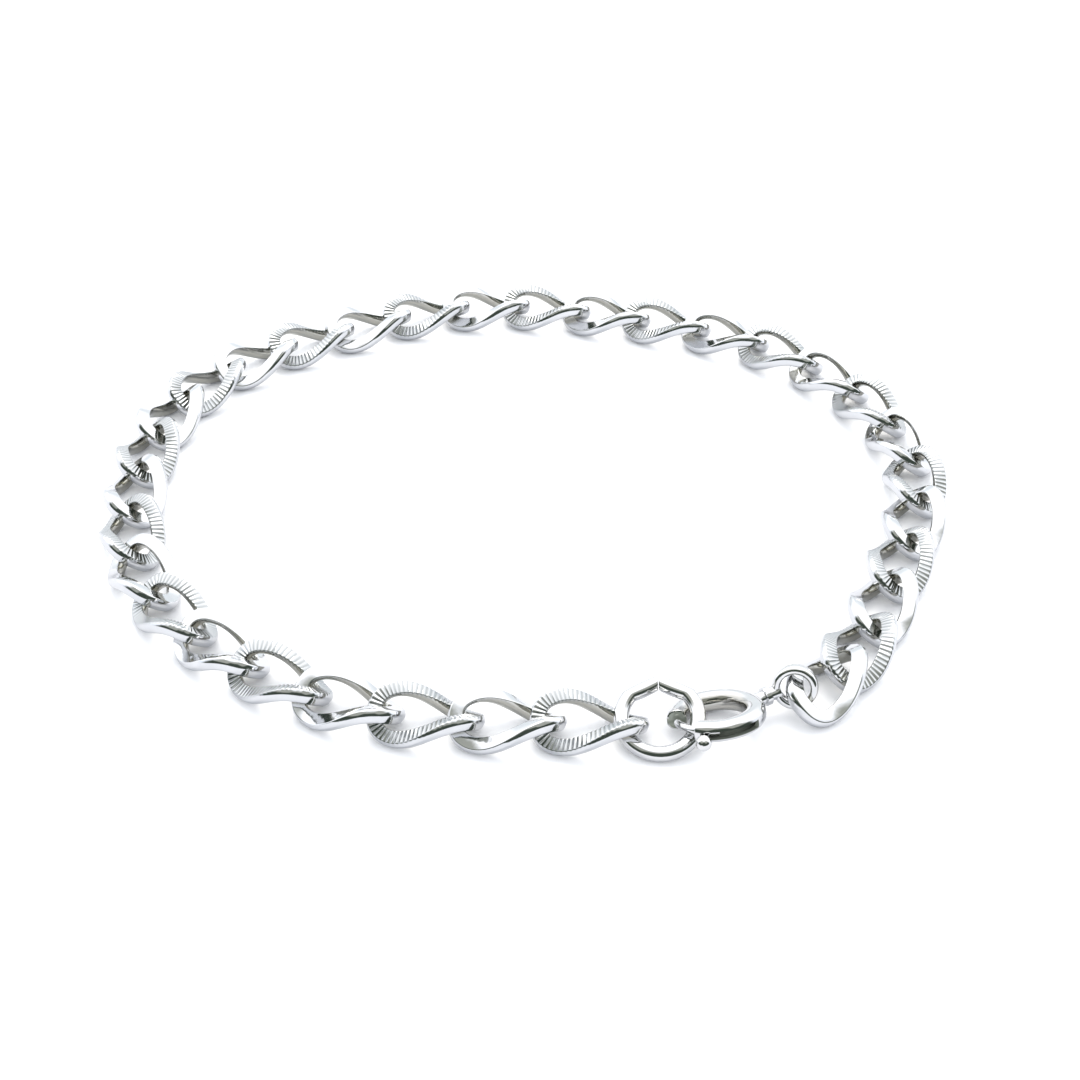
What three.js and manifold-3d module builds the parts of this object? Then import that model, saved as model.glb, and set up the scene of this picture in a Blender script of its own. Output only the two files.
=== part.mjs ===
// Curb-link bracelet lying in a loose oval, closed with a bolt ring.
// Millimetres, +Z up, the surface it lies on is z = 0.
import * as THREE from "three";
import Module from "manifold-3d";

const wasm = await Module();
wasm.setup();

const DEG = Math.PI / 180;

// Chain: every second link carries cross ribs on its upper face.
const chain = {
  links: 32,
  pitch: 5.6, // from one link's seat to the next
  lastPitch: 4.76, // the last link lies askew, so its seats are nearer
  startAngle: -1.30996, // radians, where the first link's seat lies on the outline
};

// Outline through the seats: a round of this mean radius, with waves that
// press it into the oval the chain lies in.
const outlineRadius = 30.128;
const outlineWaves = [
  { order: 1, cos: 0.233, sin: -0.141 },
  { order: 2, cos: 1.436, sin: -0.303 },
  { order: 3, cos: -0.356, sin: 0.163 },
  { order: 4, cos: -0.396, sin: 0.374 },
  { order: 5, cos: -0.029, sin: 0.518 },
  { order: 6, cos: 0.059, sin: 0.115 },
  { order: 7, cos: 0.346, sin: -0.101 },
];

// One link: a stout wire, filed flat on top, bent to a long round and twisted
// end against end.
const link = {
  halfLength: 3.53, // of the wire's centreline
  halfWidth: 2.02,
  squareness: 2.7, // 2 is an ellipse, more is squarer
  wireWidth: 1.16,
  wireThickness: 1.04,
  twist: 0.65, // radians at each end
  innerBevel: 0.08, // from the wire's side in to the flat top, on the link's inside
  outerBevel: 0.16, // and on its outside
  sideDrop: 0.48, // the wire is widest this far below the flat top
  footBevel: 0.31, // from the wire's side in to its lower face
  groundFlat: 0.05, // depth filed off where the link lies down
  steps: 24,
};

// The last link's own lie, beside the outline's last seats.
const lastLink = { x: 21.33, y: -23.56, heading: 57.9 };

// Loop that the bolt ring hooks into: an open ring of round wire, butted.
const loop = {
  radius: 2.62,
  wire: 1.1,
  x: 9.51,
  y: -27.72,
  z: 1.69,
  tilt: 24.9, // degrees, far side up
  roll: -2.8, // degrees, right side up when negative
  seam: 0.06, // gap between the two butted ends
  flatAngle: 50, // degrees of arc beside the seam that stay straight
  steps: 30,
  sides: 12,
};

// Bolt ring: a squarish tube with a mouth, closed by a sliding bolt.
const clasp = {
  radius: 2.7,
  width: 1.42,
  height: 1.44,
  squareness: 2.4,
  x: 13.37,
  y: -27.47,
  z: 1.78,
  tilt: -19.2, // degrees, near side up
  roll: -8.5, // degrees, right side up when negative
  mouthAngle: 241, // degrees round the ring, 180 is its left, 270 its front
  endAngle: 543,
  steps: 40,
  sides: 12,
};

// The bore runs from the mouth to its end angle, and the slot opens it outward.
const bore = { radius: 0.43, lead: 4, endAngle: 350, steps: 17, sides: 10 };
const slot = { from: 249.5, to: 325, low: -0.38, high: 0.2, depth: 0.2, steps: 13 };

// Bolt that slides round in the bore, moved by a knob on a stem.
const bolt = {
  radius: 0.3,
  tipAngle: 187.5,
  tailAngle: 272,
  steps: 11,
  sides: 10,
  triggerAngle: 256,
  stemRadius: 0.17,
  knobRadius: 0.54,
  knobReach: 1.52, // from the bolt's centreline out to the knob's centre
  knobDrop: 0.17,
  knobSides: 16,
};

// Rounded nose of the bolt: width of each section, at degrees from the tip.
const noseSections = [
  { width: 0.5, degrees: 0 },
  { width: 0.86, degrees: 1.4 },
  { width: 1, degrees: 3.2 },
];

// End eye, a short upright band soldered to the tube by a neck.
const eye = {
  radius: 1.3, // of the band's middle
  thickness: 0.62,
  depth: 1.0,
  squareness: 2.8,
  x: 5.59, // in the bolt ring's own frame
  y: 2.46,
  z: 0.46,
  turn: -5.4, // degrees from facing along the ring's y axis
  steps: 24,
  sides: 10,
};

// Neck between the tube and the eye, with a collar round it. Points are in
// the bolt ring's own frame, and the shares run from foot to head.
const neck = {
  foot: [2.7, 1.7, 0],
  head: [4.33, 2.57, 0.2],
  radius: 0.5,
  sides: 8,
  collarFrom: 0.4,
  collarTo: 0.62,
  collarRadius: 0.68,
  collarSides: 10,
};

// Where the middle of the whole piece lies in the layout above.
const middle = { x: 0.208, y: -0.442 };

// A closed body is a list of points and a list of triangles between them.
function bodyFromRings(rings, closed) {
  const points = rings.flat();
  const sides = rings[0].length;
  const faces = [];
  const spans = closed ? rings.length : rings.length - 1;
  for (let i = 0; i < spans; i += 1) {
    const here = i * sides;
    const there = ((i + 1) % rings.length) * sides;
    for (let j = 0; j < sides; j += 1) {
      const k = (j + 1) % sides;
      faces.push([here + j, there + j, there + k]);
      faces.push([here + j, there + k, here + k]);
    }
  }
  if (!closed) {
    const last = (rings.length - 1) * sides;
    for (let j = 1; j < sides - 1; j += 1) {
      faces.push([0, j, j + 1]);
      faces.push([last, last + j + 1, last + j]);
    }
  }
  return { points, faces };
}

function volumeOf(body) {
  const cross = new THREE.Vector3();
  return body.faces.reduce((sum, [a, b, c]) => {
    cross.crossVectors(body.points[b], body.points[c]);
    return sum + body.points[a].dot(cross) / 6;
  }, 0);
}

function solid(body) {
  const outward = volumeOf(body) > 0;
  const faces = outward ? body.faces : body.faces.map(([a, b, c]) => [a, c, b]);
  const mesh = new wasm.Mesh({
    numProp: 3,
    vertProperties: new Float32Array(body.points.flatMap((p) => [p.x, p.y, p.z])),
    triVerts: new Uint32Array(faces.flat()),
  });
  return new wasm.Manifold(mesh);
}

function geometryOf(shape) {
  const mesh = shape.getMesh();
  const positions = [];
  for (const corner of mesh.triVerts) {
    for (let axis = 0; axis < 3; axis += 1) {
      positions.push(mesh.vertProperties[corner * mesh.numProp + axis]);
    }
  }
  const geometry = new THREE.BufferGeometry();
  geometry.setAttribute("position", new THREE.Float32BufferAttribute(positions, 3));
  geometry.computeVertexNormals();
  return geometry;
}

const power = (value, exponent) => Math.sign(value) * Math.abs(value) ** exponent;

// Rounded square or round section, as [across, up] pairs.
function sectionPoints(across, up, squareness, sides) {
  const list = [];
  for (let j = 0; j < sides; j += 1) {
    const angle = (2 * Math.PI * (j + 0.5)) / sides;
    list.push([
      (across / 2) * power(Math.cos(angle), 2 / squareness),
      (up / 2) * power(Math.sin(angle), 2 / squareness),
    ]);
  }
  const reach = Math.max(...list.map(([a]) => a)) / (across / 2);
  const rise = Math.max(...list.map(([, b]) => b)) / (up / 2);
  return list.map(([a, b]) => [a / reach, b / rise]);
}

// Rings of one section carried round the Z axis between two angles.
function arcRings(radiusAt, section, from, to, steps) {
  const rings = [];
  for (let i = 0; i <= steps; i += 1) {
    const degrees = from + ((to - from) * i) / steps;
    const angle = degrees * DEG;
    const radius = radiusAt(degrees);
    rings.push(section.map(([a, b]) => new THREE.Vector3(
      (radius + a) * Math.cos(angle),
      (radius + a) * Math.sin(angle),
      b,
    )));
  }
  return rings;
}

// Link

function linkCentre(angle) {
  return new THREE.Vector2(
    link.halfLength * power(Math.cos(angle), 2 / link.squareness),
    link.halfWidth * power(Math.sin(angle), 2 / link.squareness),
  );
}

function linkSection() {
  const w = link.wireWidth / 2;
  const t = link.wireThickness / 2;
  return [
    [-w + link.innerBevel, t],
    [w - link.outerBevel, t],
    [w, t - link.sideDrop],
    [w - link.footBevel, -t],
    [-w + link.footBevel, -t],
    [-w, t - link.sideDrop],
  ];
}

function linkShape() {
  const nearby = 0.02;
  const rings = [];
  for (let i = 0; i < link.steps; i += 1) {
    const angle = (2 * Math.PI * (i + 0.5)) / link.steps;
    const centre = linkCentre(angle);
    const ahead = linkCentre(angle + nearby).sub(linkCentre(angle - nearby)).normalize();
    const turn = -link.twist * Math.sin((Math.PI / 2) * (centre.x / link.halfLength));
    rings.push(linkSection().map(([a, b]) => {
      const along = centre.x + ahead.y * a;
      const across = centre.y - ahead.x * a;
      return new THREE.Vector3(
        along,
        across * Math.cos(turn) - b * Math.sin(turn),
        across * Math.sin(turn) + b * Math.cos(turn),
      );
    }));
  }
  const lowest = Math.min(...rings.flat().map((p) => p.z));
  return solid(bodyFromRings(rings, true))
    .translate([0, 0, -lowest - link.groundFlat])
    .trimByPlane([0, 0, 1], 0);
}

// Seats along the outline, one pitch apart in a straight line. Each is found
// by halving the range of angles that it must lie in.

function outlinePoint(angle) {
  const radius = outlineWaves.reduce(
    (sum, wave) => {
      const turn = wave.order * angle;
      return sum + wave.cos * Math.cos(turn) + wave.sin * Math.sin(turn);
    },
    outlineRadius,
  );
  return new THREE.Vector2(radius * Math.cos(angle), radius * Math.sin(angle));
}

const seatSearch = { near: 0.02, far: 0.6, halvings: 40 };

function seats() {
  let angle = chain.startAngle;
  const list = [outlinePoint(angle)];
  for (let i = 0; i < chain.links; i += 1) {
    const reach = i === chain.links - 1 ? chain.lastPitch : chain.pitch;
    let { near, far } = seatSearch;
    for (let halving = 0; halving < seatSearch.halvings; halving += 1) {
      const half = (near + far) / 2;
      const short = outlinePoint(angle - half).distanceTo(list[i]) < reach;
      near = short ? half : near;
      far = short ? far : half;
    }
    angle -= (near + far) / 2;
    list.push(outlinePoint(angle));
  }
  return list;
}

// Loop ring: beside its seam the wire stays straight, which leaves a corner.
function loopRadius(degrees) {
  const half = loop.flatAngle / 2;
  const fromSeam = Math.min(Math.abs(degrees - 90), Math.abs(degrees - 450));
  if (fromSeam > loop.flatAngle) {
    return loop.radius;
  }
  return (loop.radius * Math.cos(half * DEG)) / Math.cos((fromSeam - half) * DEG);
}

function loopShape() {
  const seamAngle = (loop.seam / loop.radius / 2) / DEG;
  const section = sectionPoints(loop.wire, loop.wire, 2, loop.sides);
  const rings = arcRings(loopRadius, section, 90 + seamAngle, 450 - seamAngle, loop.steps);
  return solid(bodyFromRings(rings, false));
}

// Bolt ring's tube with its bore and slot, the neck and the end eye.

function eyeShape() {
  const section = sectionPoints(eye.thickness, eye.depth, eye.squareness, eye.sides);
  const rings = arcRings(() => eye.radius, section, 0, 360, eye.steps).slice(0, -1);
  return solid(bodyFromRings(rings, true))
    .rotate([90, 0, 0])
    .rotate([0, 0, eye.turn])
    .translate([eye.x, eye.y, eye.z]);
}

function strut(from, to, thick, sides) {
  const start = new THREE.Vector3(...from);
  const way = new THREE.Vector3(...to).sub(start);
  const up = new THREE.Vector3(0, 0, 1);
  const lift = new THREE.Quaternion().setFromUnitVectors(up, way.clone().normalize());
  const rings = [0, 1].map((part) => {
    const ring = [];
    for (let j = 0; j < sides; j += 1) {
      const angle = (2 * Math.PI * (j + 0.5)) / sides;
      const point = new THREE.Vector3(thick * Math.cos(angle), thick * Math.sin(angle), 0);
      ring.push(point.applyQuaternion(lift).add(start).addScaledVector(way, part));
    }
    return ring;
  });
  return solid(bodyFromRings(rings, false));
}

function claspShape() {
  const { mouthAngle, endAngle } = clasp;
  const bend = (section, from, to, steps) => solid(bodyFromRings(
    arcRings(() => clasp.radius, section, from, to, steps),
    false,
  ));
  const outside = sectionPoints(clasp.width, clasp.height, clasp.squareness, clasp.sides);
  const inside = sectionPoints(2 * bore.radius, 2 * bore.radius, 2, bore.sides);
  const past = clasp.width / 2 + slot.depth;
  const gate = [
    [slot.depth, slot.low],
    [past, slot.low],
    [past, slot.high],
    [slot.depth, slot.high],
  ];
  const tube = bend(outside, mouthAngle, endAngle, clasp.steps)
    .subtract(bend(inside, mouthAngle - bore.lead, bore.endAngle, bore.steps))
    .subtract(bend(gate, slot.from, slot.to, slot.steps));
  const along = (share) => neck.foot.map((value, axis) => value + share * (neck.head[axis] - value));
  const stalk = strut(neck.foot, neck.head, neck.radius, neck.sides);
  const collar = strut(
    along(neck.collarFrom),
    along(neck.collarTo),
    neck.collarRadius,
    neck.collarSides,
  );
  return tube.add(stalk).add(collar).add(eyeShape());
}

// Bolt with its trigger: slides round inside the tube.

function boltShape() {
  const section = sectionPoints(2 * bolt.radius, 2 * bolt.radius, 2, bolt.sides);
  const nose = noseSections.slice(0, -1).flatMap(({ width, degrees }) => {
    const narrow = section.map(([a, b]) => [a * width, b * width]);
    const here = bolt.tipAngle + degrees;
    return arcRings(() => clasp.radius, narrow, here, here, 1).slice(0, 1);
  });
  const from = bolt.tipAngle + noseSections.at(-1).degrees;
  const shank = arcRings(() => clasp.radius, section, from, bolt.tailAngle, bolt.steps);
  const rod = solid(bodyFromRings([...nose, ...shank], false));
  const angle = bolt.triggerAngle * DEG;
  const reach = clasp.radius + bolt.knobReach;
  const root = [clasp.radius * Math.cos(angle), clasp.radius * Math.sin(angle), 0];
  const knobCentre = [reach * Math.cos(angle), reach * Math.sin(angle), -bolt.knobDrop];
  const stem = strut(root, knobCentre, bolt.stemRadius, neck.sides);
  const knob = wasm.Manifold.sphere(bolt.knobRadius, bolt.knobSides)
    .rotate([0, 90, bolt.triggerAngle])
    .translate(knobCentre);
  return rod.add(stem).add(knob);
}

// Put together: the links, then the loop ring, then the bolt ring.

const silver = () => new THREE.MeshStandardMaterial({ color: "#dcdddd", roughness: 0.14, metalness: 1 });

const bracelet = new THREE.Group();
bracelet.name = "link_bracelet";
bracelet.position.set(-middle.x, -middle.y, 0);

const linkGeometry = geometryOf(linkShape());
const places = seats();
for (let i = 0; i < chain.links; i += 1) {
  const mesh = new THREE.Mesh(linkGeometry, silver());
  mesh.name = `link_${String(i + 1).padStart(2, "0")}`;
  const before = places[i];
  const after = places[i + 1];
  if (i < chain.links - 1) {
    mesh.position.set((before.x + after.x) / 2, (before.y + after.y) / 2, 0);
    mesh.rotation.z = Math.atan2(before.y - after.y, before.x - after.x);
  } else {
    mesh.position.set(lastLink.x, lastLink.y, 0);
    mesh.rotation.z = lastLink.heading * DEG;
  }
  bracelet.add(mesh);
}

const loopRing = new THREE.Mesh(geometryOf(loopShape()), silver());
loopRing.name = "loop_ring";
loopRing.position.set(loop.x, loop.y, loop.z);
loopRing.rotation.set(loop.tilt * DEG, loop.roll * DEG, 0, "ZYX");
bracelet.add(loopRing);

const boltRing = new THREE.Group();
boltRing.name = "bolt_ring";
boltRing.position.set(clasp.x, clasp.y, clasp.z);
boltRing.rotation.set(clasp.tilt * DEG, clasp.roll * DEG, 0, "ZYX");
bracelet.add(boltRing);

const claspBody = new THREE.Mesh(geometryOf(claspShape()), silver());
claspBody.name = "clasp_body";
boltRing.add(claspBody);

const claspBolt = new THREE.Mesh(geometryOf(boltShape()), silver());
claspBolt.name = "clasp_bolt";
boltRing.add(claspBolt);

export default bracelet;
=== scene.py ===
# %% [markdown]
# # A curb-link bracelet with a bolt ring
# The piece is a flat curb chain of polished, white-plated silver. Every second link carries fine
# cross ribs, and a bolt ring closes it. Polished metal has hardly any colour of its own: what the
# eye reads is the room mirrored in its bends. So this lesson spends its effort on two things,
# clean forms with real edges, and a studio with the right bright and dark places in it.
#
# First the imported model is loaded. It fixes where every piece is, in metres, with Z up.

# %% Load the frame
import math

import bpy
from mathutils import Matrix, Vector


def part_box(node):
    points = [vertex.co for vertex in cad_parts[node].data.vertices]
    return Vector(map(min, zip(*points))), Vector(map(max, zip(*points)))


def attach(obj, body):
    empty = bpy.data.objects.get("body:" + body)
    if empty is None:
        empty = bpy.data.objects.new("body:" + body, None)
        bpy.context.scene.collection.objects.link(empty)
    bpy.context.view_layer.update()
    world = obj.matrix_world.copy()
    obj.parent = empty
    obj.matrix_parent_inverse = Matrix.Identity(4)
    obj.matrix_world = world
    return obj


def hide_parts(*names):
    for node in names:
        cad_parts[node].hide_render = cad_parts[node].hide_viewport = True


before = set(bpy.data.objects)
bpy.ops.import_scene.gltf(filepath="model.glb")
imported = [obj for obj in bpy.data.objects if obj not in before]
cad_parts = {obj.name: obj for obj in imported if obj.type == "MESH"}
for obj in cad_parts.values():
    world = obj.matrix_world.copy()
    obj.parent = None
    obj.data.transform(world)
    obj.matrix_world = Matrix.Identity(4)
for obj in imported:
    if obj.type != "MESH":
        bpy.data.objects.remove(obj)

MM = 0.001
DEG = math.pi / 180
scene = bpy.context.scene
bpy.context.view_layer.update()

# %% [markdown]
# ## Small helpers
# Colours are picked as sRGB hex values, the way a screen shows them, but shader sockets hold linear
# light, so one function turns the first into the second. A second helper adds a shader node with
# its settings and links in one call, which keeps a material readable as a short list of nodes, and a
# third blends two colours. It names the Mix node's sockets by number, because the node has several
# sockets called A and B, one pair for each kind of value.

# %% Colour and node helpers
def linear(hex_colour):
    parts = [int(hex_colour[i:i + 2], 16) / 255 for i in (1, 3, 5)]
    return tuple(c / 12.92 if c <= 0.04045 else ((c + 0.055) / 1.055) ** 2.4 for c in parts) + (1.0,)


def add_node(tree, kind, settings=None, links=None):
    node = tree.nodes.new(kind)
    for key, value in (settings or {}).items():
        if isinstance(key, int) or key in node.inputs:
            node.inputs[key].default_value = value
        else:
            setattr(node, key, value)
    for key, socket in (links or {}).items():
        tree.links.new(socket, node.inputs[key])
    return node


MIX_FACTOR, MIX_UNDER, MIX_OVER, MIX_RESULT = 0, 6, 7, 2


def mix_colours(tree, share, under, over):
    """Blend from under to over. Each of them is a hex colour or another node's output."""
    node = add_node(tree, "ShaderNodeMix", {"data_type": "RGBA"}, {MIX_FACTOR: share})
    for socket, value in ((MIX_UNDER, under), (MIX_OVER, over)):
        if isinstance(value, str):
            node.inputs[socket].default_value = linear(value)
        else:
            tree.links.new(value, node.inputs[socket])
    return node.outputs[MIX_RESULT]


def clamped(value):
    return min(1.0, max(0.0, value))


print("mid grey in linear light", [round(c, 3) for c in linear("#808080")])

# %% [markdown]
# ## Camera
# The photograph was taken from the front, looking down at about 37 degrees, from 15 cm away. The
# lens is given as the focal length that shows the same angle on a 36 mm wide sensor. Depth of
# field stays off, so every link is sharp.

# %% Camera
camera_place = Vector((1.062, -123.258, 88.36)) * MM
camera_pitch = 36.72 * DEG
camera_roll = 0.36 * DEG
camera_data = bpy.data.cameras.new("camera")
camera_data.lens = 63.0
camera_data.sensor_width = 36.0
camera_data.clip_start = 0.01
camera_data.clip_end = 20.0
camera = bpy.data.objects.new("camera", camera_data)
scene.collection.objects.link(camera)
camera.matrix_world = (
    Matrix.Translation(camera_place)
    @ Matrix.Rotation(math.pi / 2 - camera_pitch, 4, "X")
    @ Matrix.Rotation(camera_roll, 4, "Z")
)
scene.camera = camera
print("camera at", [round(v, 4) for v in camera_place])

# %% [markdown]
# ## Floor
# A white sheet of paper that runs well past the view. The camera sees it plain white. The silver
# should mirror a sheet that is a shade darker, or its undersides would be as white as the sheet. So
# light that bounces off it has a tone of its own, with a faint grain. Paper's real grain is finer
# than a pixel here, so it is drawn about a millimetre wide.

# %% Floor
grain_mm = 1.11


def flat_sheet(name, half):
    mesh = bpy.data.meshes.new(name)
    corners = [(-half, -half, 0), (half, -half, 0), (half, half, 0), (-half, half, 0)]
    mesh.from_pydata(corners, [], [(0, 1, 2, 3)])
    sheet = bpy.data.objects.new(name, mesh)
    scene.collection.objects.link(sheet)
    return sheet


def white_paper():
    material = bpy.data.materials.new("white_paper")
    material.use_nodes = True
    tree = material.node_tree
    shader = tree.nodes["Principled BSDF"]
    shader.inputs["Roughness"].default_value = 0.7
    shader.inputs["Specular IOR Level"].default_value = 0.2
    place = add_node(tree, "ShaderNodeTexCoord")
    grain = add_node(tree, "ShaderNodeTexNoise", {"Scale": 1 / (grain_mm * MM), "Detail": 3.0},
                     {"Vector": place.outputs["Object"]})
    tone = add_node(tree, "ShaderNodeValToRGB", links={"Fac": grain.outputs["Fac"]})
    tone.color_ramp.elements[0].color = linear("#d6d7da")
    tone.color_ramp.elements[1].color = linear("#dddde0")
    ray = add_node(tree, "ShaderNodeLightPath")
    white = mix_colours(tree, ray.outputs["Is Camera Ray"], tone.outputs["Color"], "#fcfcfc")
    tree.links.new(white, shader.inputs["Base Color"])
    return material


floor = flat_sheet("floor", half=1.5)
floor.data.materials.append(white_paper())
print("floor", [round(v, 2) for v in floor.dimensions])

# %% [markdown]
# ## Light
# Silver is shot in a white tent: light comes from everywhere, so that the metal mirrors white. A
# tent has an opening for the camera, though, and the room behind it is dark. Polished edges that
# face the opening pick it up as thin dark lines, and those lines are what makes silver look like
# silver. The world is that tent: white behind and overhead, light grey low down behind, darker grey
# in front, and the dark opening low in front. Camera rays see it plain white, so no other view shows
# the opening, and the matt floor is lit by an even white, so that it stays clean.

# %% Small steps for the world's pattern
def smooth_step(tree, value, low, high, start=0.0, end=1.0):
    """Goes smoothly from start to end while the value goes from low to high."""
    limits = {"From Min": low, "From Max": high, "To Min": start, "To Max": end}
    node = add_node(tree, "ShaderNodeMapRange", {"interpolation_type": "SMOOTHSTEP", **limits},
                    {"Value": value})
    return node.outputs["Result"]


def maths(tree, operation, *values):
    node = add_node(tree, "ShaderNodeMath", {"operation": operation})
    for socket, value in zip(node.inputs, values):
        tree.links.new(value, socket)
    return node.outputs["Value"]


print("helpers for the pattern:", smooth_step.__name__, maths.__name__)

# %% [markdown]
# The pattern is drawn on the directions round the piece: x to the right, y to the back, z up, each
# from -1 to 1. Directions below the floor don't matter. The opening is higher in the middle, where
# the camera and its user stand, than at its sides. Each pair of numbers is where a soft edge starts
# and where it ends.

# %% What the silver mirrors
opening = {
    "top": 0.74, "side_top": 0.52, "narrowing": (0.18, 0.5), "top_edge": (-0.05, 0.05),
    "front": (-0.22, 0.06), "floor": (-0.02, 0.03),
}
tent = {
    "cloth": (-0.3, 0.9), "front": (-0.3, 0.0), "front_top": (0.84, 0.96),
    "behind": (0.45, 0.8), "low": (0.12, 0.5),
}


def dark_opening(tree, x, y, z):
    """1 in the opening and 0 beside it."""
    aside = maths(tree, "ABSOLUTE", x)
    height = smooth_step(tree, aside, *opening["narrowing"], opening["top"], opening["side_top"])
    over_edge = maths(tree, "SUBTRACT", z, height)
    under_top = smooth_step(tree, over_edge, *opening["top_edge"], 1.0, 0.0)
    in_front = smooth_step(tree, y, *opening["front"], 1.0, 0.0)
    over_floor = smooth_step(tree, z, *opening["floor"])
    return maths(tree, "MULTIPLY", maths(tree, "MULTIPLY", in_front, over_floor), under_top)


def tent_colour(tree, x, y, z):
    cloth = smooth_step(tree, maths(tree, "ADD", y, z), *tent["cloth"])
    colour = mix_colours(tree, cloth, "#c3cbd6", "#fdfdff")
    below_top = smooth_step(tree, z, *tent["front_top"], 1.0, 0.0)
    front = maths(tree, "MULTIPLY", smooth_step(tree, y, *tent["front"], 1.0, 0.0), below_top)
    colour = mix_colours(tree, front, colour, "#8f918b")
    low = smooth_step(tree, z, *tent["low"], 1.0, 0.0)
    low_behind = maths(tree, "MULTIPLY", smooth_step(tree, y, *tent["behind"]), low)
    colour = mix_colours(tree, low_behind, colour, "#cdd2d6")
    return mix_colours(tree, dark_opening(tree, x, y, z), colour, "#363d37")


print("opening's top edge in the middle", round(math.degrees(math.asin(opening["top"]))), "degrees up")

# %% World as a white tent
def white_tent(strength, floor_strength):
    """The silver mirrors the pattern, the matt floor is lit evenly and the camera sees white."""
    world = bpy.data.worlds.new("white_tent")
    world.use_nodes = True
    tree = world.node_tree
    tree.nodes.clear()
    place = add_node(tree, "ShaderNodeTexCoord")
    axes = add_node(tree, "ShaderNodeSeparateXYZ", links={"Vector": place.outputs["Generated"]})
    mirrored = tent_colour(tree, *(axes.outputs[name] for name in "XYZ"))
    lit = add_node(tree, "ShaderNodeBackground", {"Strength": strength}, {"Color": mirrored})
    even_light = {"Strength": floor_strength, "Color": linear("#f4f7fc")}
    even = add_node(tree, "ShaderNodeBackground", even_light)
    seen = add_node(tree, "ShaderNodeBackground", {"Strength": 1.0, "Color": (1, 1, 1, 1)})
    ray = add_node(tree, "ShaderNodeLightPath")
    light = lit
    for kind, other in (("Is Diffuse Ray", even), ("Is Camera Ray", seen)):
        sources = {0: ray.outputs[kind], 1: light.outputs[0], 2: other.outputs[0]}
        light = add_node(tree, "ShaderNodeMixShader", links=sources)
    add_node(tree, "ShaderNodeOutputWorld", links={"Surface": light.outputs[0]})
    return world


scene.world = white_tent(strength=1.75, floor_strength=1.65)
scene.view_settings.view_transform = "Standard"
print("world nodes", len(scene.world.node_tree.nodes))

# %% [markdown]
# One large soft lamp hangs behind and above the piece. It lays the pale shadow of each link towards
# the camera, as in the photograph, and makes the sheet around the chain clear white.

# %% Soft lamp behind and above
def soft_lamp(name, place, size, watts, colour):
    data = bpy.data.lights.new(name, "AREA")
    data.shape = "DISK"
    data.size = size
    data.energy = watts
    data.color = linear(colour)[:3]
    lamp = bpy.data.objects.new(name, data)
    scene.collection.objects.link(lamp)
    lamp.location = place
    lamp.rotation_euler = (-Vector(place)).to_track_quat("-Z", "Y").to_euler()
    return lamp


lamp = soft_lamp("soft_lamp", (-0.06, 0.4, 0.8), size=0.6, watts=3.6, colour="#fff8ee")
print("lamp", lamp.data.energy, "W")

# %% [markdown]
# ## Silver
# Sterling silver with a thin rhodium plate: near-white, a touch cooler than bare silver, and bright
# polished. It was tumbled and hand finished, so the surface isn't optically flat: it rolls a little,
# which makes the mirrored dark lines waver, and very fine hairlines cross it. The waver is a bump with
# a pitch of about one millimetre, less than 0.02 mm deep. Hairlines are finer than a pixel, so they
# are drawn as slow changes of roughness instead.

# %% Parts of the silver material
patch_mm, patch_ends = 2.5, (0.3, 0.7)
hairline_mm = 0.35
# How metallic the painted shade inside the clasp's tube is.
painted_shade_metallic = 0.2


def noise(tree, place, size_mm, detail):
    settings = {"Scale": 1 / (size_mm * MM), "Detail": detail}
    node = add_node(tree, "ShaderNodeTexNoise", settings, {"Vector": place.outputs["Object"]})
    return node.outputs["Fac"]


def spread(tree, value, low, high):
    """Turns a value from 0 to 1 into one from low to high."""
    node = add_node(tree, "ShaderNodeMapRange", {"To Min": low, "To Max": high}, {"Value": value})
    return node.outputs["Result"]


def patchy_tone(tree, place, tone):
    patches = noise(tree, place, patch_mm, detail=4.0)
    colour = add_node(tree, "ShaderNodeValToRGB", links={"Fac": patches})
    for element, position, hex_colour in zip(colour.color_ramp.elements, patch_ends, tone):
        element.position = position
        element.color = linear(hex_colour)
    return colour.outputs["Color"]


def mark(tree, name):
    """Output of a value, 0 to 1, that the mesh carries under this name."""
    return add_node(tree, "ShaderNodeAttribute", {"attribute_name": name}).outputs["Fac"]


print("patches", patch_mm, "mm, hairlines", hairline_mm, "mm")

# %% [markdown]
# The walls inside a link and round the clasp's hole, and the grooves between the ribs, get painted
# shade: the meshes carry values that say where these places are, and the material lays a darker tone
# over each. The inside of the clasp's tube gets painted shade too, a grey tone that is less metallic.
# A mesh without such a value, as the bolt's, counts as 0 all over, which is bright.

# %% Silver material
def rhodium_silver(name, tone, gloss, waver_mm, waver_depth_mm, marks, less_metallic_shade=None):
    material = bpy.data.materials.new(name)
    material.use_nodes = True
    tree = material.node_tree
    shader = tree.nodes["Principled BSDF"]
    shader.inputs["Metallic"].default_value = 1.0
    place = add_node(tree, "ShaderNodeTexCoord")
    finish = patchy_tone(tree, place, tone)
    # Each mark lays a tone of painted shade over the finish.
    for marked, shade_tone in marks.items():
        finish = mix_colours(tree, mark(tree, marked), finish, shade_tone)
    tree.links.new(finish, shader.inputs["Base Color"])
    # Where the painted shade inside the clasp's tube lies, the metal is also less metallic.
    if less_metallic_shade:
        metallic = spread(tree, mark(tree, less_metallic_shade), 1.0, painted_shade_metallic)
        tree.links.new(metallic, shader.inputs["Metallic"])
    rough = spread(tree, noise(tree, place, hairline_mm, detail=5.0), *gloss)
    tree.links.new(rough, shader.inputs["Roughness"])
    waver = noise(tree, place, waver_mm, detail=2.0)
    bump = add_node(tree, "ShaderNodeBump", {"Strength": 1.0, "Distance": waver_depth_mm * MM},
                    {"Height": waver})
    tree.links.new(bump.outputs["Normal"], shader.inputs["Normal"])
    return material


link_tone, wire_tone = ("#d5d7d9", "#dfe0e1"), ("#d6d7d8", "#e0e0df")
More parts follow.
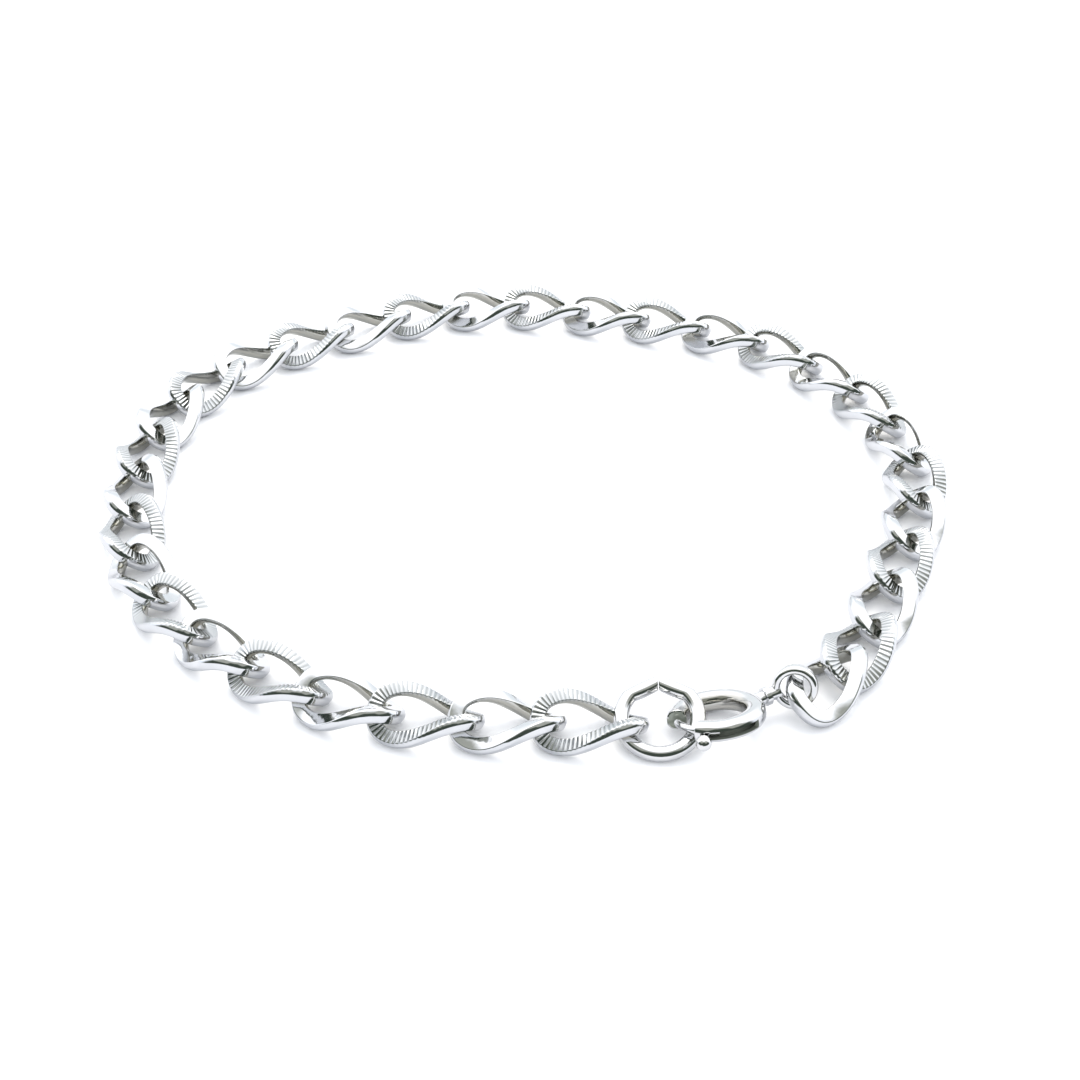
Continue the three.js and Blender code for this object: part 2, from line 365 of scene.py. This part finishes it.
# Plain links: rhodium-plated silver, bright polished on top, with painted shade on the walls inside.
link_silver = rhodium_silver(
    "rhodium_silver_links", link_tone, (0.04, 0.14), 1.0, 0.018, {"painted_shade": "#bdbcb3"})
# Ribbed links: the same, with painted shade in the grooves, and less waver because the press left the
# face flatter.
ribbed_silver = rhodium_silver(
    "rhodium_silver_ribbed", link_tone, (0.05, 0.16), 1.0, 0.008,
    {"painted_shade": "#bdbcb3", "groove": "#9a9fa0"})
# Loop ring: drawn round wire, bright all round.
wire_silver = rhodium_silver("rhodium_silver_wire", wire_tone, (0.04, 0.12), 1.1, 0.012, {})
# Clasp: bent tube, bright outside, with painted shade round the hole and a grey, less metallic painted
# shade inside.
clasp_silver = rhodium_silver(
    "rhodium_silver_clasp", wire_tone, (0.04, 0.12), 1.2, 0.012,
    {"painted_shade": "#b9b8b2", "hollow_shade": "#858a80"}, less_metallic_shade="hollow_shade")
print("silver materials", [m.name for m in (link_silver, ribbed_silver, wire_silver, clasp_silver)])

# %% [markdown]
# ## Sweeping a section
# Nearly every piece here is wire or tube: a section carried along a path. Building each mesh from
# rings of points keeps the section exact all the way, which a curve with a bevel wouldn't do on a
# twisted link.

# %% Mesh helpers
def mesh_from_rings(name, rings, closed):
    """Skin over rings of points, which run round to the first ring or else end flat."""
    sides = len(rings[0])
    points = [point for ring in rings for point in ring]
    spans = len(rings) if closed else len(rings) - 1
    faces = []
    for i in range(spans):
        here, there = i * sides, ((i + 1) % len(rings)) * sides
        for j in range(sides):
            k = (j + 1) % sides
            faces.append((here + j, there + j, there + k, here + k))
    if not closed:
        faces.append(tuple(reversed(range(sides))))
        last = (len(rings) - 1) * sides
        faces.append(tuple(last + j for j in range(sides)))
    mesh = bpy.data.meshes.new(name)
    mesh.from_pydata(points, [], faces)
    return outward(mesh)


def outward(mesh):
    """Turns all faces round if they point inward."""
    mesh.calc_loop_triangles()
    volume = 0.0
    for triangle in mesh.loop_triangles:
        a, b, c = (mesh.vertices[i].co for i in triangle.vertices)
        volume += a.dot(b.cross(c))
    if volume < 0:
        mesh.flip_normals()
    return mesh


def rounded(corners, radii, steps):
    """A section with rounded corners. A round takes up less than half of each side that it meets."""
    section = []
    count = len(corners)
    for i, corner in enumerate(corners):
        here = Vector(corner)
        before = Vector(corners[i - 1]) - here
        after = Vector(corners[(i + 1) % count]) - here
        start = here + before.normalized() * min(radii[i], before.length * 0.45)
        end = here + after.normalized() * min(radii[i], after.length * 0.45)
        for step in range(steps + 1):
            t = step / steps
            section.append(start * (1 - t) ** 2 + here * (2 * t * (1 - t)) + end * t ** 2)
    return section


def power(value, exponent):
    """A power that keeps the sign."""
    return math.copysign(abs(value) ** exponent, value)


def section_points(across, up, squareness, sides):
    """An ellipse where squareness is 2, and ever nearer to a box above that."""
    points = []
    for j in range(sides):
        angle = 2 * math.pi * (j + 0.5) / sides
        points.append(Vector((
            across / 2 * power(math.cos(angle), 2 / squareness),
            up / 2 * power(math.sin(angle), 2 / squareness),
        )))
    return points


def smooth(mesh, edge_angle):
    """Shades a mesh smooth, apart from edges that turn by more than the angle in degrees."""
    mesh.shade_smooth()
    mesh.set_sharp_from_angle(angle=edge_angle * DEG)


print("a 12 sided section has", len(section_points(1, 1, 2, 12)), "points")

# %% [markdown]
# ## A curb link
# A link starts as flat wire bent to a long round and soldered. It is then twisted, one end against
# the other, so that the chain lies flat although each link passes through the next. The centreline
# is a squarish ellipse. The twist turns each section about the link's long axis. It follows a sine,
# so it changes fastest in the middle of the link and hardly at all at its ends.
#
# The wire is stout, about as thick as it is wide. Its upper face falls a tenth of a millimetre
# outward, its outer wall leans out for the upper half and in again below. The turn between face and
# wall catches the dark opening as a thin line. All corners are a little rounded, because a
# perfectly sharp edge shows no highlight.

# %% Link sizes
link = {
    "half_length": 3.53, "half_width": 2.02, "squareness": 2.7,
    "width": 1.18, "thickness": 1.14, "twist": 0.65,
    "inner_bevel": 0.08, "outer_bevel": 0.16, "side_drop": 0.5, "foot_bevel": 0.28,
    "fall": 0.1, "edge_radii": (0.08, 0.08, 0.2, 0.22, 0.22, 0.2), "rings": 132,
}


def link_centre(angle):
    return Vector((
        link["half_length"] * power(math.cos(angle), 2 / link["squareness"]),
        link["half_width"] * power(math.sin(angle), 2 / link["squareness"]),
    ))


def link_section():
    w, t = link["width"] / 2, link["thickness"] / 2
    side = t - link["side_drop"]
    corners = [
        (-w + link["inner_bevel"], t), (w - link["outer_bevel"], t - link["fall"]), (w, side),
        (w - link["foot_bevel"], -t), (-w + link["foot_bevel"], -t), (-w, side),
    ]
    return rounded(corners, link["edge_radii"], 3)


print("link section", len(link_section()), "points")

# %% Even steps along the link
def link_path(fine=1440):
    """Points of the centreline with the length run so far, closed."""
    points = [link_centre(2 * math.pi * i / fine) for i in range(fine + 1)]
    lengths = [0.0]
    for before, after in zip(points, points[1:]):
        lengths.append(lengths[-1] + (after - before).length)
    return points, lengths


def at_length(points, lengths, s):
    total = lengths[-1]
    s %= total
    low, high = 0, len(lengths) - 1
    while high - low > 1:
        half = (low + high) // 2
        low, high = (half, high) if lengths[half] <= s else (low, half)
    share = (s - lengths[low]) / (lengths[high] - lengths[low])
    return points[low].lerp(points[high], share)


points, lengths = link_path()
print("wire in one link", round(lengths[-1], 2), "mm")

# %% [markdown]
# The ribs of every second link are real geometry: a groove is pressed across the upper face at each
# rib pitch, with a ring of points at its bottom, on its flanks and on the land between two grooves.
# Bump alone would lose their scalloped edge. The grooves get a grey of painted shade, and the lands
# between them get part of it, as a lighter painted shade.

# %% Where the rings of points stand
# The lands get a share of the grooves' painted shade, given in this table.
ribs = {"count": 61, "depth": 0.06, "groove": 0.4, "run_out": 0.3, "land_shade": 0.42}
look_ahead = 0.03


def ring_stops(ribbed):
    """Stops along the wire in rib pitches or ring pitches, with each one's share of the pitch."""
    if not ribbed:
        return link["rings"], [(k, 0.5) for k in range(link["rings"])]
    groove = ribs["groove"]
    shares = (0.0, groove / 2, groove, 0.5, 1 - groove, 1 - groove / 2)
    return ribs["count"], [(k + share, share) for k in range(ribs["count"]) for share in shares]


def wire_frame(points, lengths, s):
    """Centre of the wire at length s, the way it runs there and how far it is twisted."""
    before, centre, after = (
        at_length(points, lengths, s + step) for step in (-look_ahead, 0.0, look_ahead)
    )
    ahead = (after - before).normalized()
    turn = -link["twist"] * math.sin(math.pi / 2 * centre.x / link["half_length"])
    return centre, ahead, turn


print("rib pitch", round(lengths[-1] / ribs["count"], 3), "mm")

# %% [markdown]
# The wall on the inside of the wire is marked for painted shade while the rings are made. The link
# lies on small flats, where it was filed. So the finished mesh is lifted until its top is as high as
# the packed link's, and what would still lie below the floor is pressed flat.

# %% Link mesh
inner_wall = {"start": 0.12, "fade": 0.15, "below_top": 0.03, "fade_down": 0.08}


def inner_wall_shade(a, b):
    """How much painted shade the wall gets at a across and b up in the section, 0 on the upper face
    and outside.
    """
    inside = clamped((-a - inner_wall["start"] * link["width"]) / (inner_wall["fade"] * link["width"]))
    down = link["thickness"] / 2 - b
    return inside * clamped((down - inner_wall["below_top"]) / inner_wall["fade_down"])


def link_rings(ribbed):
    """Rings of points along the wire, and for each point its painted shade from the ribs and from the
    inner wall, 0 to 1.
    """
    points, lengths = link_path()
    section = link_section()
    top = link["thickness"] / 2
    pitches, stops = ring_stops(ribbed)
    unit = lengths[-1] / pitches
    rings, groove_shade, painted_shade = [], [], []
    for stop, share in stops:
        centre, ahead, turn = wire_frame(points, lengths, stop * unit)
        sunk = max(0.0, 1 - min(share, 1 - share) / ribs["groove"])
        ring = []
        for a, b in section:
            upper = clamped(1 - (top - b) / ribs["run_out"])
            b -= ribs["depth"] * sunk * upper
            along = centre.x + ahead.y * a
            across = centre.y - ahead.x * a
            ring.append(Vector((
                along,
                across * math.cos(turn) - b * math.sin(turn),
                across * math.sin(turn) + b * math.cos(turn),
            )) * MM)
            # Painted shade, 0 to 1: grey in the grooves, part of it on the lands, and darker on the
            # inner wall.
            groove_shade.append(upper * (ribs["land_shade"] + (1 - ribs["land_shade"]) * sunk))
            painted_shade.append(inner_wall_shade(a, b))
        rings.append(ring)
    return rings, groove_shade, painted_shade


def set_marks(mesh, name, domain, values):
    mesh.attributes.new(name, "FLOAT", domain).data.foreach_set("value", values)


def link_mesh(name, ribbed):
    rings, groove_shade, painted_shade = link_rings(ribbed)
    mesh = mesh_from_rings(name, rings, True)
    # These values carry painted shade: on the inner wall, and in the grooves of a ribbed link.
    set_marks(mesh, "painted_shade", "POINT", painted_shade)
    if ribbed:
        set_marks(mesh, "groove", "POINT", groove_shade)
    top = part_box("link_02")[1].z
    lift = top - max(vertex.co.z for vertex in mesh.vertices)
    for vertex in mesh.vertices:
        vertex.co.z = max(vertex.co.z + lift, 0.0)
    mesh.shade_smooth()
    return mesh


plain_link = link_mesh("plain_link", False)
ribbed_link = link_mesh("ribbed_link", True)
print("faces in a plain link", len(plain_link.polygons), "in a ribbed one", len(ribbed_link.polygons))

# %% [markdown]
# ## Laying the chain
# The chain lies in a loose oval. Its outline is a round with a few waves in it, and the links are
# stepped along it, one pitch apart, each lying between two neighbouring seats. These are the same
# numbers and steps as the model's, so every visible link stands where its solid is.

# %% Outline and seats
middle = Vector((0.208, -0.442))
chain = {"links": 32, "pitch": 5.6, "last_pitch": 4.76, "start_angle": -1.30996}
last_link = {"x": 21.33, "y": -23.56, "heading": 57.9}
outline_radius = 30.128
outline_waves = [
    {"order": 1, "cos": 0.233, "sin": -0.141},
    {"order": 2, "cos": 1.436, "sin": -0.303},
    {"order": 3, "cos": -0.356, "sin": 0.163},
    {"order": 4, "cos": -0.396, "sin": 0.374},
    {"order": 5, "cos": -0.029, "sin": 0.518},
    {"order": 6, "cos": 0.059, "sin": 0.115},
    {"order": 7, "cos": 0.346, "sin": -0.101},
]


def outline_point(angle):
    radius = outline_radius + sum(
        wave["cos"] * math.cos(wave["order"] * angle) + wave["sin"] * math.sin(wave["order"] * angle)
        for wave in outline_waves
    )
    return Vector((radius * math.cos(angle), radius * math.sin(angle)))


def seats(halvings=40):
    """Seats one pitch apart along the outline. The angle to the next one is found by halving."""
    angle = chain["start_angle"]
    found = [outline_point(angle)]
    for i in range(chain["links"]):
        reach = chain["last_pitch"] if i == chain["links"] - 1 else chain["pitch"]
        near, far = 0.02, 0.6
        for _ in range(halvings):
            half = (near + far) / 2
            short = (outline_point(angle - half) - found[i]).length < reach
            near, far = (half, far) if short else (near, half)
        angle -= (near + far) / 2
        found.append(outline_point(angle))
    return found


places = seats()
print("first seat", places[0].to_tuple(2), "last seat", places[-1].to_tuple(2))

# %% Put each link on its seats
def add_piece(mesh, material, node, body):
    """Adds the visible piece that stands for a node of the frame."""
    piece = bpy.data.objects.new(node + "_visual", mesh)
    scene.collection.objects.link(piece)
    mesh.materials.clear()
    mesh.materials.append(material)
    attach(piece, body)
    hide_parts(node)
    return piece


def link_place(i):
    if i == chain["links"] - 1:
        centre = Vector((last_link["x"], last_link["y"]))
        heading = last_link["heading"] * DEG
    else:
        before, after = places[i], places[i + 1]
        centre = (before + after) / 2
        heading = math.atan2(before.y - after.y, before.x - after.x)
    centre = (centre - middle) * MM
    return Matrix.Translation((centre.x, centre.y, 0)) @ Matrix.Rotation(heading, 4, "Z")


link_kinds = [(ribbed_link, ribbed_silver, "ribbed_link"), (plain_link, link_silver, "plain_link")]
for i in range(chain["links"]):
    shape, material, slot_name = link_kinds[i % 2]
    mesh = shape.copy()
    mesh.transform(link_place(i))
    add_piece(mesh, material, f"link_{i + 1:02d}", "root")
print("links laid", chain["links"])

# %% [markdown]
# ## The loop ring
# At the front the chain ends in a ring of round wire that the bolt ring hooks into. Such a ring is
# cut from a coil and pushed shut, so its ends only butt together. Beside the cut the wire was never
# bent quite round, which leaves a small corner at the seam. The radius along the ring says all this:
# it is even, apart from two straight flanks beside the seam.

# %% Loop ring
loop = {
    "radius": 2.62, "wire": 1.1, "place": (9.51, -27.72, 1.69), "tilt": 24.9, "roll": -2.8,
    "seam_angle": 90, "seam": 0.06, "flat_angle": 50, "edge": 0.07, "edge_angle": 1.2,
}


def ring_place(place, tilt, roll):
    x, y, z = place
    return (
        Matrix.Translation(Vector((x - middle.x, y - middle.y, z)) * MM)
        @ Matrix.Rotation(roll * DEG, 4, "Y")
        @ Matrix.Rotation(tilt * DEG, 4, "X")
    )


def arc_ring(radius, degrees, section):
    angle = degrees * DEG
    return [
        Vector(((radius + a) * math.cos(angle), (radius + a) * math.sin(angle), b)) * MM
        for a, b in section
    ]


def loop_radius(degrees):
    """Round, apart from one straight flank on each side of the seam."""
    half = loop["flat_angle"] / 2
    from_seam = min(abs(degrees - loop["seam_angle"]), abs(degrees - loop["seam_angle"] - 360))
    if from_seam > loop["flat_angle"]:
        return loop["radius"]
    return loop["radius"] * math.cos(half * DEG) / math.cos((from_seam - half) * DEG)


def even_stops(first, last, steps):
    return [first + (last - first) * i / steps for i in range(steps + 1)]


def with_soft_ends(stops, edge_degrees, edge):
    """Stops along an arc, each with how far its ring shrinks, so that both cut edges are rounded."""
    first, last = stops[0], stops[-1]
    return (
        [(first, edge), (first + edge_degrees * 0.3, edge * 0.3), (first + edge_degrees, 0.0)]
        + [(stop, 0.0) for stop in stops[1:-1]]
        + [(last - edge_degrees, 0.0), (last - edge_degrees * 0.3, edge * 0.3), (last, edge)]
    )


def loop_mesh():
    half_gap = loop["seam"] / loop["radius"] / 2 / DEG
    seam = loop["seam_angle"]
    stops = even_stops(seam + half_gap, seam + 360 - half_gap, steps=144)
    rings = []
    for degrees, shrink in with_soft_ends(stops, loop["edge_angle"], loop["edge"]):
        wire = loop["wire"] - 2 * shrink
        section = section_points(wire, wire, squareness=2, sides=28)
        rings.append(arc_ring(loop_radius(degrees), degrees, section))
    mesh = mesh_from_rings("loop_ring", rings, False)
    smooth(mesh, edge_angle=50)
    mesh.transform(ring_place(loop["place"], loop["tilt"], loop["roll"]))
    return mesh


add_piece(loop_mesh(), wire_silver, "loop_ring", "root")
print("loop ring across", loop["radius"] * 2 + loop["wire"], "mm")

# %% [markdown]
# ## The bolt ring
# The clasp is a stout tube bent nearly to a full round, with a mouth at its front left. A bolt
# slides inside the tube and bridges the mouth. Its knob sticks out through a slot. The tube, the
# neck with its collar and the end eye are soldered together, so they become one mesh: the shapes are
# made apart and then joined and cut with the exact boolean. The inside of the tube gets painted
# shade, a grey and less metallic tone, which makes the slot beside the knob read as dark.

# %% Bolt ring sizes
clasp = {
    "radius": 2.7, "width": 1.42, "height": 1.44, "squareness": 2.4,
    "place": (13.37, -27.47, 1.78), "tilt": -19.2, "roll": -8.5, "mouth": 241, "end": 543,
    "edge": 0.12, "edge_angle": 2.2,
}
bore = {"radius": 0.43, "lead": 4, "end": 350}
slot = {"from": 249.5, "to": 325, "low": -0.38, "high": 0.2, "depth": 0.2}
# Where painted shade lies round the ring's hole, and how far inside the tube it reaches.
hole_wall = {"start": 0.34, "fade": 0.22, "top": 0.69, "fade_down": 0.1}
inside_reach = 0.64
eye = {
    "radius": 1.3, "thickness": 0.62, "depth": 1.0, "squareness": 2.8,
    "place": (5.59, 2.46, 0.46), "turn": -5.4,
}
neck = {"foot": Vector((2.7, 1.7, 0)), "head": Vector((4.33, 2.57, 0.2))}
clasp_place = ring_place(clasp["place"], clasp["tilt"], clasp["roll"])


def bend(name, section, first, last, steps, edge=0.0):
    """A section carried round the bolt ring's centreline, with rounded ends if edge isn't zero."""
    stops = even_stops(first, last, steps)
    if edge:
        stops = with_soft_ends(stops, clasp["edge_angle"], edge)
    else:
        stops = [(stop, 0.0) for stop in stops]
    reach = max(abs(a) for a, _ in section)
    rings = []
    for degrees, shrink in stops:
        scale = (reach - shrink) / reach
        rings.append(arc_ring(clasp["radius"], degrees, [(a * scale, b * scale) for a, b in section]))
    return mesh_from_rings(name, rings, False)


print("bolt ring across", clasp["radius"] * 2 + clasp["width"], "mm")

# %% Turned parts
def turned(name, start, end, profile, sides=36):
    """Round part along a line. The profile has pairs of a share of the line and a radius."""
    way = end - start
    lift = way.to_track_quat("Z", "Y")
    rings = []
    for share, radius in profile:
        ring = []
        for j in range(sides):
            angle = 2 * math.pi * j / sides
            point = lift @ Vector((radius * math.cos(angle), radius * math.sin(angle), 0))
            ring.append((start + way * share + point) * MM)
        rings.append(ring)
    return mesh_from_rings(name, rings, False)


neck_profile = [
    (-0.15, 0.6), (0.0, 0.58), (0.14, 0.53), (0.26, 0.5), (0.38, 0.5), (0.39, 0.64), (0.41, 0.68),
    (0.61, 0.68), (0.63, 0.64), (0.64, 0.5), (0.8, 0.5), (0.92, 0.53), (1.02, 0.58),
]
print("neck", round((neck["head"] - neck["foot"]).length, 2), "mm long, points", len(neck_profile))

# %% Joining and cutting
def combined(base, other, operation):
    """A new mesh: base after a boolean with other."""
    tools = [bpy.data.objects.new("boolean_" + str(k), mesh) for k, mesh in enumerate((base, other))]
    for tool in tools:
        scene.collection.objects.link(tool)
    step = tools[0].modifiers.new("step", "BOOLEAN")
    step.operation = operation
    step.object = tools[1]
    step.solver = "EXACT"
    graph = bpy.context.evaluated_depsgraph_get()
    graph.update()
    result = bpy.data.meshes.new_from_object(tools[0].evaluated_get(graph))
    for tool in tools:
        bpy.data.objects.remove(tool)
    return result


def eye_mesh():
    section = section_points(eye["thickness"], eye["depth"], eye["squareness"], sides=32)
    steps = 72
    rings = []
    for i in range(steps):
        angle = 2 * math.pi * i / steps
        across, up = math.cos(angle), math.sin(angle)
        rings.append([
            Vector(((eye["radius"] + a) * across, -b, (eye["radius"] + a) * up)) * MM
            for a, b in section
        ])
    mesh = mesh_from_rings("end_eye", rings, True)
    turn = Matrix.Rotation(eye["turn"] * DEG, 4, "Z")
    mesh.transform(Matrix.Translation(Vector(eye["place"]) * MM) @ turn)
    return mesh


def mark_clasp(mesh):
    """Marks painted shade on the inside of the tube and, more softly, on the wall round the ring's
    hole.
    """
    hollow_shade, painted_shade = [], []
    for polygon in mesh.polygons:
        x, y, z = polygon.center / MM
        from_heart = math.hypot(math.hypot(x, y) - clasp["radius"], z)
        hollow_shade.append(1.0 if from_heart < inside_reach else 0.0)
    for vertex in mesh.vertices:
        x, y, z = vertex.co / MM
        inward = clasp["radius"] - math.hypot(x, y)
        below = clamped((hole_wall["top"] - z) / hole_wall["fade_down"])
        painted_shade.append(clamped((inward - hole_wall["start"]) / hole_wall["fade"]) * below)
    set_marks(mesh, "hollow_shade", "FACE", hollow_shade)
    set_marks(mesh, "painted_shade", "POINT", painted_shade)


def clasp_mesh():
    outside = section_points(clasp["width"], clasp["height"], clasp["squareness"], sides=44)
    inside = section_points(2 * bore["radius"], 2 * bore["radius"], squareness=2, sides=24)
    past = clasp["width"] / 2 + slot["depth"]
    low, high = slot["low"], slot["high"]
    gate = [(slot["depth"], low), (past, low), (past, high), (slot["depth"], high)]
    mesh = bend("clasp_tube", outside, clasp["mouth"], clasp["end"], steps=120, edge=clasp["edge"])
    hole = bend("bore", inside, clasp["mouth"] - bore["lead"], bore["end"], steps=40)
    mesh = combined(mesh, hole, "DIFFERENCE")
    mesh = combined(mesh, bend("slot", gate, slot["from"], slot["to"], steps=44), "DIFFERENCE")
    mesh = combined(mesh, turned("neck", neck["foot"], neck["head"], neck_profile), "UNION")
    mesh = combined(mesh, eye_mesh(), "UNION")
    mark_clasp(mesh)
    smooth(mesh, edge_angle=38)
    mesh.transform(clasp_place)
    return mesh


clasp_body = add_piece(clasp_mesh(), clasp_silver, "clasp_body", "root")
print("clasp body faces", len(clasp_body.data.polygons))

# %% [markdown]
# ## The bolt and its knob
# The bolt is a bent rod with a rounded nose. A thin stem goes through the slot and carries the knob
# that a fingernail pushes. The bolt is the one piece that moves on its own, so it rides on its own
# body, and its pattern moves with it.

# %% Bolt
bolt = {
    "radius": 0.3, "tip": 187.5, "nose": 3.2, "tail": 272, "trigger": 256,
    "stem": 0.17, "shoulder": 0.24, "knob": 0.54, "reach": 1.52, "drop": 0.17,
}


def bolt_mesh():
    section = section_points(2 * bolt["radius"], 2 * bolt["radius"], squareness=2, sides=24)
    # Degrees from the tip, and the share of the full width there.
    nose = [(0.0, 0.5), (0.5, 0.72), (1.4, 0.9), (2.3, 0.97)]
    rings = [
        arc_ring(clasp["radius"], bolt["tip"] + degrees, [(a * width, b * width) for a, b in section])
        for degrees, width in nose
    ]
    for degrees in even_stops(bolt["tip"] + bolt["nose"], bolt["tail"], steps=36):
        rings.append(arc_ring(clasp["radius"], degrees, section))
    rod = mesh_from_rings("bolt_rod", rings, False)
    angle = bolt["trigger"] * DEG
    outward_way = Vector((math.cos(angle), math.sin(angle), 0))
    root = outward_way * clasp["radius"]
    heart = outward_way * (clasp["radius"] + bolt["reach"]) - Vector((0, 0, bolt["drop"]))
    stem_profile = [
        (0.0, bolt["stem"]), (0.62, bolt["stem"]), (0.7, bolt["shoulder"]), (0.9, bolt["shoulder"]),
    ]
    stem = turned("stem", root, heart, stem_profile, sides=24)
    knob_steps = 20
    angles = [math.pi * k / knob_steps for k in range(1, knob_steps)]
    knob_profile = [(0.5 - 0.5 * math.cos(a), bolt["knob"] * math.sin(a)) for a in angles]
    pole = outward_way * bolt["knob"]
    knob = turned("knob", heart - pole, heart + pole, knob_profile)
    mesh = combined(combined(rod, stem, "UNION"), knob, "UNION")
    smooth(mesh, edge_angle=50)
    mesh.transform(clasp_place)
    return mesh


clasp_bolt = add_piece(bolt_mesh(), clasp_silver, "clasp_bolt", "bolt")
print("bolt faces", len(clasp_bolt.data.polygons))
